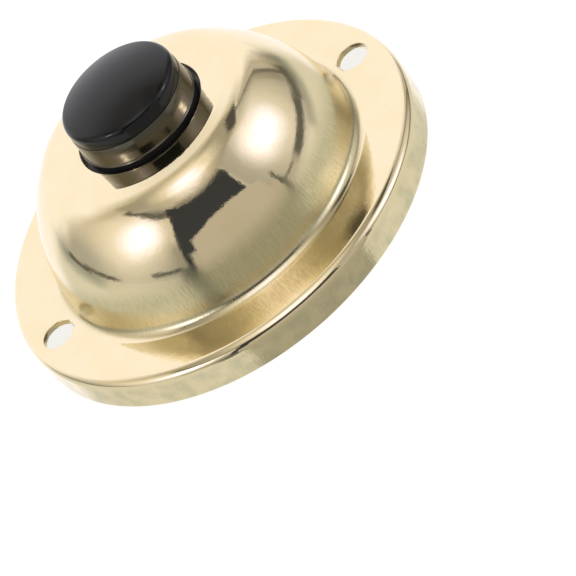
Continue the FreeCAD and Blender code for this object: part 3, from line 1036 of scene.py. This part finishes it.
    def build(self, finish: Finish, cut_finish: Finish) -> Piece:
        """Make the cover.

        Args:
            finish: Finish of the polished sheet.
            cut_finish: Finish of the punched edges.

        Returns:
            The finished piece.
        """
        outer = self.face_line(self.front_foot, 0.0, 1.0)
        inner = self.face_line(self.rear_foot, self.sheet, self.rear_fineness)
        break_low = self.plateau_height - self.edge_break
        break_high = self.plateau_height - self.sheet + self.edge_break
        hole_edge = [(self.hole_radius, break_low), (self.hole_radius, break_high)]
        foot_edge = [
            (self.skirt_radius - self.sheet + self.edge_break, 0.0),
            (self.skirt_radius - self.edge_break, 0.0),
        ]
        section = Section(outer + hole_edge + inner[::-1] + foot_edge)
        piece = self.lathe.turn("pressed_cover", section, closed=True)
        for side in (-1.0, 1.0):
            self.bore(piece, side * self.screw_hole_place)
        make_active(piece)
        bpy.ops.object.shade_smooth_by_angle(angle=self.lathe.crease)
        piece.data.materials.append(finish.material())
        piece.data.materials.append(cut_finish.material())
        self.mark_cut_faces(piece)
        settle(piece, Body.HOUSING, Slot.POLISHED_BRASS, "cover_shell")
        return piece


@dataclass
class PushButton:
    """The part that a finger pushes: the moulded cap on its brass sleeve."""

    sleeve_radius: float = 8.7
    sleeve_wall: float = 0.7
    sleeve_taper: float = 0.15
    sleeve_lip: float = 0.15
    sleeve_lip_height: float = 0.25
    sleeve_rounding: float = 0.1
    push_fit: float = 0.03
    cap_edge_rounding: float = 1.0
    cap_crown_rise: float = 1.3
    snap_radius: float = 5.03
    socket_depth: float = 3.1
    edge_break: float = 0.08
    hold: float = 0.04
    crown_steps: int = 36
    edge_steps: int = 16
    roll_steps: int = 6
    lip_steps: int = 5
    break_steps: int = 4
    lathe: Lathe = field(default_factory=lambda: Lathe(steps=192))

    def cap(self, finish: Finish) -> Piece:
        """Make the cap with its crown, rounded edge, lip and socket.

        Args:
            finish: The cap's finish.

        Returns:
            The finished piece.
        """
        low, high = (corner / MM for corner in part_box("button_cap"))
        radius = min(high.x, high.y)
        edge_radius = radius - self.cap_edge_rounding
        edge_height = high.z - self.cap_crown_rise - self.cap_edge_rounding
        tilt = 2.0 * math.atan(self.cap_crown_rise / edge_radius)
        crown_radius = edge_radius / math.sin(tilt) + self.cap_edge_rounding
        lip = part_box("button_sleeve")[1].z / MM
        spigot = self.sleeve_radius - self.sleeve_wall - self.push_fit
        socket_top = low.z + self.socket_depth
        part = self.edge_break
        section = Section()
        section.arc((0.0, high.z - crown_radius), crown_radius, QUARTER, QUARTER - tilt, self.crown_steps)
        section.arc((edge_radius, edge_height), self.cap_edge_rounding, QUARTER - tilt, 0.0, self.edge_steps)
        section.flat(radius, lip + part, self.hold)
        section.arc((radius - part, lip + part), part, 0.0, -QUARTER, self.break_steps)
        section.flat(spigot, lip, self.hold)
        section.to(spigot, low.z)
        section.to(self.snap_radius, low.z)
        section.to(self.snap_radius, socket_top)
        section.to(0.0, socket_top)
        piece = self.lathe.turn("cap", section, closed=False)
        piece.data.materials.append(finish.material())
        settle(piece, Body.BUTTON, Slot.GLOSS_BLACK, "button_cap")
        return piece

    def sleeve(self, finish: Finish) -> Piece:
        """Make the brass sleeve, wider towards its foot, with a rolled lip and broken edges.

        Args:
            finish: The sleeve's finish.

        Returns:
            The finished piece.
        """
        low, high = (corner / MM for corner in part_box("button_sleeve"))
        bore = self.sleeve_radius - self.sleeve_wall
        waist = self.sleeve_radius + self.sleeve_taper
        roll = self.sleeve_rounding
        roll_radius = waist + self.sleeve_lip - roll
        lip_top = low.z + self.sleeve_lip_height
        part = self.edge_break
        section = Section([(bore + part, low.z)])
        section.arc((roll_radius, low.z + roll), roll, -QUARTER, 0.0, self.roll_steps)
        roll_high = lip_top + roll * (1.0 - math.sqrt(2.0))
        section.arc((roll_radius, roll_high), roll, 0.0, QUARTER / 2.0, self.lip_steps)
        section.flat(waist, lip_top + self.sleeve_lip, self.hold / 2.0)
        section.flat(self.sleeve_radius, high.z - part, self.hold)
        section.arc((self.sleeve_radius - part, high.z - part), part, 0.0, QUARTER, self.break_steps)
        section.arc((bore + part, high.z - part), part, QUARTER, 2.0 * QUARTER, self.break_steps)
        section.flat(bore, low.z + part, self.hold)
        piece = self.lathe.turn("sleeve", section, closed=True)
        piece.data.materials.append(finish.material())
        settle(piece, Body.BUTTON, Slot.POLISHED_BRASS, "button_sleeve")
        return piece


@dataclass
class ReturnSpring:
    """The coil spring."""

    wire_radius: float = 0.25
    turns: int = 5
    steps: int = 40
    wire_sides: int = 12
    crease: float = math.radians(50.0)
    travel: float = 2.0

    def build(self, finish: Finish) -> Piece:
        """Wind the spring and put it on the housing.

        Args:
            finish: The wire's finish.

        Returns:
            The finished piece.
        """
        low, high = (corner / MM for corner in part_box("return_spring"))
        height = high.z - low.z
        start_clean()
        bpy.ops.mesh.primitive_circle_add(
            vertices=self.wire_sides, radius=self.wire_radius * MM, rotation=(QUARTER, 0.0, 0.0),
            location=((high.x - self.wire_radius) * MM, 0.0, (low.z + self.wire_radius) * MM),
        )
        piece = bpy.context.object
        piece.name = "spring_coil"
        piece.data.name = "spring_coil"
        bpy.ops.object.transform_apply(location=True, rotation=True, scale=True)
        wind = piece.modifiers.new("wind", "SCREW")
        wind.axis = "Z"
        wind.angle = 2.0 * math.pi
        wind.screw_offset = (height - 2.0 * self.wire_radius) / self.turns * MM
        wind.iterations = self.turns
        wind.steps = wind.render_steps = self.steps
        apply_modifier(piece, wind)
        bpy.ops.object.mode_set(mode="EDIT")
        bpy.ops.mesh.select_mode(type="VERT")
        bpy.ops.mesh.select_all(action="SELECT")
        bpy.ops.mesh.fill_holes(sides=0)
        bpy.ops.mesh.select_all(action="SELECT")
        bpy.ops.mesh.normals_make_consistent(inside=False)
        bpy.ops.object.mode_set(mode="OBJECT")
        bpy.ops.object.shade_smooth_by_angle(angle=self.crease)
        piece.data.materials.append(finish.material())
        settle(piece, Body.HOUSING, Slot.SPRING_STEEL, "return_spring")
        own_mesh(piece)
        return piece


@dataclass
class Switch:
    """The switch behind the cover, whose solids keep their shapes."""

    finishes: dict[str, Finish] = field(
        default_factory=lambda: {
            "plunger": SATIN_BLACK,
            "switch_base": BASE_MOULDING,
            "insulating_washer": RED_FIBRE,
            "contact_bridge": CONTACT_BRASS,
            "contact_strip": CONTACT_BRASS,
            "contact_rivet": CONTACT_SILVER,
            "terminal_nut": CONTACT_BRASS,
            "terminal_screw": CONTACT_BRASS,
            "clamp_plate": CONTACT_BRASS,
            "stem_clip": SPRING_STEEL,
            "spring_seat": SPRING_STEEL,
        }
    )

    def build(self) -> None:
        """Dress every solid of the switch."""
        for kind, finish in self.finishes.items():
            for node in sorted(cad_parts):
                if node == kind or node in (kind + "_left", kind + "_right"):
                    dress(node, finish)


# Studio


def towards(azimuth: float, elevation: float) -> Vector:
    """Give the direction at an azimuth and an elevation in degrees."""
    around, lift = math.radians(azimuth), math.radians(elevation)
    return Vector((math.cos(lift) * math.cos(around), math.cos(lift) * math.sin(around), math.sin(lift)))


class ZoneShape(Enum):
    """How a zone of the studio is bounded."""

    PANEL = "panel"
    GLOW = "glow"


@dataclass(frozen=True)
class StudioZone:
    """A patch of the studio that the metal mirrors, by direction from the object.

    Azimuth is counted from the camera's side, anticlockwise from above, and all angles are
    in degrees. A panel's bow lifts its ends, a quarter turn from its middle, by that angle.
    A glow is round and uses only its half width.
    """

    name: str
    shape: ZoneShape
    azimuth: float
    elevation: float
    half_width: float
    half_height: float
    softness: float
    colour: Colour
    side_softness: float = 0.0
    bow: float = 0.0


class StudioDirection(Effect):
    """Azimuth from the camera's side and elevation of a direction, in degrees."""

    name = "Studio Direction"
    inputs = vectors("Direction")
    outputs = numbers("Azimuth", "Elevation")

    def build(self, sheet: NodeSheet, source: Outputs, result: Inputs) -> None:
        """Take the two angles of the direction.

        Args:
            sheet: The group's node sheet.
            source: The group's inputs.
            result: The group's outputs.
        """
        split = sheet.node("ShaderNodeSeparateXYZ")
        sheet.feed(split.inputs[0], sheet.vector("NORMALIZE", source["Direction"]).outputs[0])
        x, y, z = split.outputs
        sheet.feed(result["Azimuth"], sheet.math("DEGREES", sheet.math("ARCTAN2", y, x)))
        sheet.feed(result["Elevation"], sheet.math("DEGREES", sheet.math("ARCSINE", z)))


class PanelMask(Effect):
    """Mask of a patch between two azimuths and two elevations."""

    name = "Panel Mask"
    inputs = (
        numbers("Azimuth", "Elevation", "Middle Azimuth", "Middle Elevation")
        | numbers("Half Width", "Half Height", "Softness", "Side Softness", "Bow")
    )
    outputs = numbers("Mask")

    def build(self, sheet: NodeSheet, source: Outputs, result: Inputs) -> None:
        """Fade out past the half width and the half height.

        Args:
            sheet: The group's node sheet.
            source: The group's inputs.
            result: The group's outputs.
        """
        turn = sheet.math("WRAP", sheet.math("SUBTRACT", source["Azimuth"], source["Middle Azimuth"]), 180.0, -180.0)
        away = sheet.math("ABSOLUTE", turn)
        lift = sheet.math("MULTIPLY", sheet.ramp(away, 0.0, 90.0, 0.0, 1.0), source["Bow"])
        rise = sheet.math("SUBTRACT", sheet.math("SUBTRACT", source["Elevation"], source["Middle Elevation"]), lift)
        across = sheet.math("SUBTRACT", away, source["Half Width"])
        along = sheet.math("SUBTRACT", sheet.math("ABSOLUTE", rise), source["Half Height"])
        fade_across = sheet.ramp(across, sheet.math("MULTIPLY", source["Side Softness"], -1.0), 0.0, 1.0, 0.0)
        fade_along = sheet.ramp(along, sheet.math("MULTIPLY", source["Softness"], -1.0), 0.0, 1.0, 0.0)
        sheet.feed(result["Mask"], sheet.math("MULTIPLY", fade_across, fade_along))


class GlowMask(Effect):
    """Mask of a round soft light about a direction."""

    name = "Glow Mask"
    inputs = vectors("Direction", "Middle") | numbers("Radius", "Softness")
    outputs = numbers("Mask")

    def build(self, sheet: NodeSheet, source: Outputs, result: Inputs) -> None:
        """Fade out with the angle from the middle.

        Args:
            sheet: The group's node sheet.
            source: The group's inputs.
            result: The group's outputs.
        """
        unit = sheet.vector("NORMALIZE", source["Direction"]).outputs[0]
        cosine = sheet.vector("DOT_PRODUCT", unit, source["Middle"]).outputs["Value"]
        angle = sheet.math("DEGREES", sheet.math("ARCCOSINE", sheet.math("MINIMUM", cosine, 1.0)))
        low = sheet.math("SUBTRACT", source["Radius"], source["Softness"])
        sheet.feed(result["Mask"], sheet.ramp(angle, low, source["Radius"], 1.0, 0.0))


STUDIO_DIRECTION = StudioDirection()
PANEL_MASK = PanelMask()
GLOW_MASK = GlowMask()

BACKDROP: Colour = (1.06, 1.05, 1.09)
OPENING: Colour = (0.045, 0.050, 0.062)
PANEL = ZoneShape.PANEL
GLOW = ZoneShape.GLOW
ZONES = (
    StudioZone("floor behind", PANEL, 180.0, -45.0, 200.0, 49.0, 18.0, (0.840, 0.860, 0.890)),
    StudioZone("floor at the sides", PANEL, 2.4, -45.0, 147.3, 44.4, 3.8, (0.734, 0.746, 0.691), 15.0, 3.3),
    StudioZone("shade on the left floor", PANEL, -115.4, 0.1, 23.3, 10.2, 10.3, (0.255, 0.306, 0.299), 14.0, -4.7),
    StudioZone("shade on the right floor", PANEL, 112.7, 0.9, 28.5, 11.1, 9.7, (0.266, 0.284, 0.269), 9.2, -9.1),
    StudioZone("left wall", PANEL, -78.1, 32.8, 61.1, 33.2, 1.7, (0.665, 0.627, 0.551), 29.6, -0.9),
    StudioZone("low left wall", PANEL, -81.4, 9.7, 48.6, 18.0, 17.1, (0.440, 0.449, 0.431), 11.0, -9.3),
    StudioZone("left wall's end", PANEL, -36.6, 8.3, 16.2, 22.0, 12.1, (0.347, 0.347, 0.324), 12.6, -0.5),
    StudioZone("left light's halo", GLOW, -76.2, 26.6, 36.7, 0.0, 36.7, (1.006, 0.981, 0.953)),
    StudioZone("left light, low", GLOW, -70.3, 28.8, 16.9, 0.0, 16.9, (1.374, 1.364, 1.786)),
    StudioZone("left light, high", GLOW, -59.6, 33.9, 16.8, 0.0, 15.2, (1.432, 1.423, 1.797)),
    StudioZone("right wall", PANEL, 69.6, 27.9, 48.6, 33.0, 7.3, (0.437, 0.441, 0.424), 8.9, -4.3),
    StudioZone("fold", PANEL, 127.5, 27.3, 14.4, 28.1, 3.5, (0.399, 0.375, 0.306), 19.0, 0.1),
    StudioZone("fold's shade", PANEL, 117.2, 31.5, 10.2, 27.1, 2.8, (0.305, 0.288, 0.252), 8.4, -0.2),
    StudioZone("fold's line", PANEL, 120.2, 24.8, 2.2, 25.4, 5.3, (0.180, 0.170, 0.150), 1.2),
    StudioZone("right light's halo", GLOW, 78.5, 26.1, 44.9, 0.0, 44.6, (0.926, 0.903, 0.862)),
    StudioZone("right light, low", GLOW, 78.5, 26.1, 17.9, 0.0, 17.5, (1.313, 1.369, 1.843)),
    StudioZone("right light, high", GLOW, 62.6, 31.7, 21.8, 0.0, 21.8, (1.520, 1.479, 1.876)),
    StudioZone("left light's core", GLOW, -65.0, 32.0, 8.0, 0.0, 7.0, (8.0, 8.0, 8.6)),
    StudioZone("right light's core", GLOW, 70.0, 28.5, 8.0, 0.0, 7.0, (8.0, 8.0, 8.6)),
    StudioZone("left horizon's end", PANEL, -115.8, 0.4, 10.2, 1.9, 1.0, (0.141, 0.149, 0.138), 3.3, -2.3),
    StudioZone("left horizon, far", PANEL, -99.2, 2.0, 16.6, 2.4, 2.4, (0.102, 0.108, 0.098), 8.5, 4.1),
    StudioZone("left horizon, near", PANEL, -52.7, 5.2, 12.3, 2.7, 2.6, (0.122, 0.130, 0.117), 3.3, -1.2),
    StudioZone("right horizon, near", PANEL, 51.7, 5.0, 11.5, 1.8, 1.5, (0.249, 0.230, 0.211), 6.2, -2.8),
    StudioZone("right horizon", PANEL, 84.3, 4.0, 27.1, 4.3, 2.8, (0.130, 0.132, 0.126), 11.3, -0.7),
    StudioZone("right horizon's end", PANEL, 114.6, 2.0, 13.4, 5.2, 5.3, (0.130, 0.130, 0.116), 3.8, 2.4),
    StudioZone("dark left of the panel", PANEL, -37.0, -8.0, 11.0, 16.0, 5.0, (0.14, 0.15, 0.14), 9.0),
    StudioZone("dark right of the panel", PANEL, 44.0, -2.0, 5.0, 14.0, 8.0, (0.20, 0.21, 0.20), 4.0),
    StudioZone("opening", PANEL, -5.5, 34.0, 32.5, 21.0, 1.2, OPENING, 1.5),
    StudioZone("opening's left strip", PANEL, -36.0, 22.0, 2.8, 24.0, 10.0, OPENING, 1.8),
    StudioZone("opening's right strip", PANEL, 43.5, 11.0, 1.8, 8.0, 5.0, (0.10, 0.10, 0.095), 1.2),
    StudioZone("front panel", PANEL, 4.5, -30.0, 38.5, 46.0, 1.0, (0.50, 0.475, 0.42), 1.0, -10.0),
    StudioZone("front panel's top", PANEL, 3.5, 5.0, 32.5, 25.3, 1.0, (0.53, 0.50, 0.455), 1.0, -28.0),
    StudioZone("front panel's lower part", PANEL, 4.5, -30.0, 38.5, 46.0, 30.0, (0.42, 0.42, 0.36), 1.0, -10.0),
    StudioZone("ceiling at the back", PANEL, 195.1, 90.0, 67.7, 45.5, 21.1, (0.565, 0.535, 0.434), 14.7, -12.0),
    StudioZone("ceiling at the left", PANEL, -38.2, 90.0, 116.5, 43.1, 1.3, (0.450, 0.440, 0.397), 8.3, 16.0),
    StudioZone("ceiling at the right", PANEL, 15.8, 90.0, 151.9, 42.5, 4.6, (0.391, 0.375, 0.327), 11.4, 6.9),
    StudioZone("ceiling's left edge", PANEL, -41.8, 45.6, 60.1, 4.7, 4.1, (0.141, 0.141, 0.129), 9.5, 15.6),
    StudioZone("ceiling's right edge", PANEL, 110.8, 60.6, 37.8, 6.3, 3.4, (0.090, 0.090, 0.088), 18.0, -11.8),
    StudioZone("ceiling's middle", GLOW, -61.6, 88.7, 23.7, 0.0, 23.7, (1.072, 1.010, 0.927)),
    StudioZone("overhead light's halo", GLOW, -7.0, 72.1, 30.1, 0.0, 23.2, (0.997, 0.947, 0.816)),
    StudioZone("overhead light, low", GLOW, -6.1, 66.4, 18.9, 0.0, 17.0, (1.359, 1.342, 1.683)),
    StudioZone("overhead light, high", GLOW, -19.0, 80.6, 13.2, 0.0, 13.2, (1.203, 1.359, 1.943)),
    StudioZone("opening's top", PANEL, -6.0, 44.0, 34.0, 3.6, 1.2, OPENING, 1.5, 4.0),
)


@dataclass
class Studio:
    """Pale floor, plain studio surroundings and the camera at the photograph's place."""

    camera_azimuth: float = -94.770
    camera_elevation: float = 37.157
    camera_roll: float = 40.645
    camera_distance: float = 485.65
    aim: tuple[float, float, float] = (-2.605, -34.102, 10.0)
    lens: float = 240.3
    sensor_width: float = 36.0
    clip_start: float = 0.01
    clip_end: float = 20.0
    floor_half: float = 900.0
    floor_glow: float = 0.78
    floor_colour: Colour = (0.42, 0.42, 0.42)

    def camera(self) -> None:
        """Make the camera and set it as the scene's."""
        roll = math.radians(self.camera_roll)
        back = towards(self.camera_azimuth, self.camera_elevation)
        level_right = towards(self.camera_azimuth + 90.0, 0.0)
        level_up = back.cross(level_right)
        up = level_up * math.cos(roll) + level_right * math.sin(roll)
        right = level_right * math.cos(roll) - level_up * math.sin(roll)
        place = (Vector(self.aim) + back * self.camera_distance) * MM
        data = bpy.data.cameras.new("photo_camera")
        data.lens = self.lens
        data.sensor_width = self.sensor_width
        data.clip_start = self.clip_start
        data.clip_end = self.clip_end
        camera = bpy.data.objects.new("photo_camera", data)
        bpy.context.scene.collection.objects.link(camera)
        camera.matrix_world = Matrix.Translation(place) @ Matrix((right, up, back)).transposed().to_4x4()
        bpy.context.scene.camera = camera

    def zone_mask(self, sheet: NodeSheet, zone: StudioZone, direction: Socket, angles: Outputs) -> Socket:
        """Give the mask of one zone.

        Args:
            sheet: The world's node sheet.
            zone: The zone.
            direction: Direction, turned so that the camera's side is +X.
            angles: Azimuth and elevation of the direction.

        Returns:
            The mask.
        """
        if zone.shape is ZoneShape.PANEL:
            return PANEL_MASK.place(
                sheet, Azimuth=angles["Azimuth"], Elevation=angles["Elevation"],
                Middle_Azimuth=zone.azimuth, Middle_Elevation=zone.elevation,
                Half_Width=zone.half_width, Half_Height=zone.half_height, Softness=zone.softness,
                Side_Softness=zone.side_softness, Bow=zone.bow,
            )["Mask"]
        return GLOW_MASK.place(
            sheet, Direction=direction, Middle=towards(zone.azimuth, zone.elevation),
            Radius=zone.half_width, Softness=zone.softness,
        )["Mask"]

    def surroundings(self) -> None:
        """Make the world: the studio for light and reflections, plain white for the camera."""
        world = bpy.data.worlds.new("studio")
        world.use_nodes = True
        sheet = NodeSheet(world.node_tree)
        turned = sheet.node("ShaderNodeVectorRotate", rotation_type="Z_AXIS")
        sheet.feed(turned.inputs["Vector"], sheet.node("ShaderNodeTexCoord").outputs["Generated"])
        turned.inputs["Angle"].default_value = -math.radians(self.camera_azimuth)
        direction = turned.outputs[0]
        angles = STUDIO_DIRECTION.place(sheet, Direction=direction)
        colour: object = BACKDROP
        for zone in ZONES:
            colour = sheet.mix(self.zone_mask(sheet, zone, direction, angles), colour, zone.colour)
        studio = sheet.node("ShaderNodeBackground")
        sheet.feed(studio.inputs["Color"], colour)
        white = sheet.node("ShaderNodeBackground")
        white.inputs["Color"].default_value = (1.0, 1.0, 1.0, 1.0)
        seen = sheet.node("ShaderNodeMixShader")
        sheet.feed(seen.inputs[0], sheet.node("ShaderNodeLightPath").outputs["Is Camera Ray"])
        sheet.feed(seen.inputs[1], studio.outputs[0])
        sheet.feed(seen.inputs[2], white.outputs[0])
        sheet.feed(sheet.node("ShaderNodeOutputWorld").inputs["Surface"], seen.outputs[0])
        bpy.context.scene.world = world

    def floor(self) -> None:
        """Make the white floor, which keeps a soft shadow and is open when seen from below."""
        start_clean()
        bpy.ops.mesh.primitive_plane_add(size=2.0 * self.floor_half * MM)
        floor = bpy.context.object
        floor.name = "floor"
        made = bpy.data.materials.new("white_floor")
        made.use_nodes = True
        sheet = NodeSheet(made.node_tree)
        matt = sheet.node("ShaderNodeBsdfDiffuse")
        matt.inputs["Color"].default_value = as_rgba(self.floor_colour)
        glow = sheet.node("ShaderNodeEmission")
        glow.inputs["Strength"].default_value = self.floor_glow
        both = sheet.node("ShaderNodeAddShader")
        sheet.feed(both.inputs[0], matt.outputs[0])
        sheet.feed(both.inputs[1], glow.outputs[0])
        clear = sheet.node("ShaderNodeBsdfTransparent")
        side = sheet.node("ShaderNodeMixShader")
        sheet.feed(side.inputs[0], sheet.node("ShaderNodeNewGeometry").outputs["Backfacing"])
        sheet.feed(side.inputs[1], both.outputs[0])
        sheet.feed(side.inputs[2], clear.outputs[0])
        sheet.feed(sheet.node("ShaderNodeOutputMaterial").inputs["Surface"], side.outputs[0])
        floor.data.materials.append(made)
        for ray in ("glossy", "diffuse", "transmission", "shadow"):
            setattr(floor, "visible_" + ray, False)

    def build(self) -> None:
        """Make the whole studio."""
        bpy.context.scene.view_settings.view_transform = "Standard"
        self.camera()
        self.surroundings()
        self.floor()


def main() -> None:
    """Build the studio and every sub-assembly in order."""
    logging.basicConfig(level=logging.INFO, format="%(name)s: %(message)s", stream=sys.stdout)
    Studio().build()
    low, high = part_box("cover_shell")
    reach = min(high.x, high.y, -low.x, -low.y) / MM
    CoverShell(skirt_radius=reach).build(POLISHED_BRASS, CUT_BRASS)
    button = PushButton()
    button.cap(GLOSS_BLACK)
    # The sleeve's finish carries painted shade in its darkened colour.
    button.sleeve(SLEEVE_BRASS_WITH_PAINTED_SHADE)
    ReturnSpring().build(SPRING_STEEL)
    Switch().build()


if __name__ == "__main__":
    main()
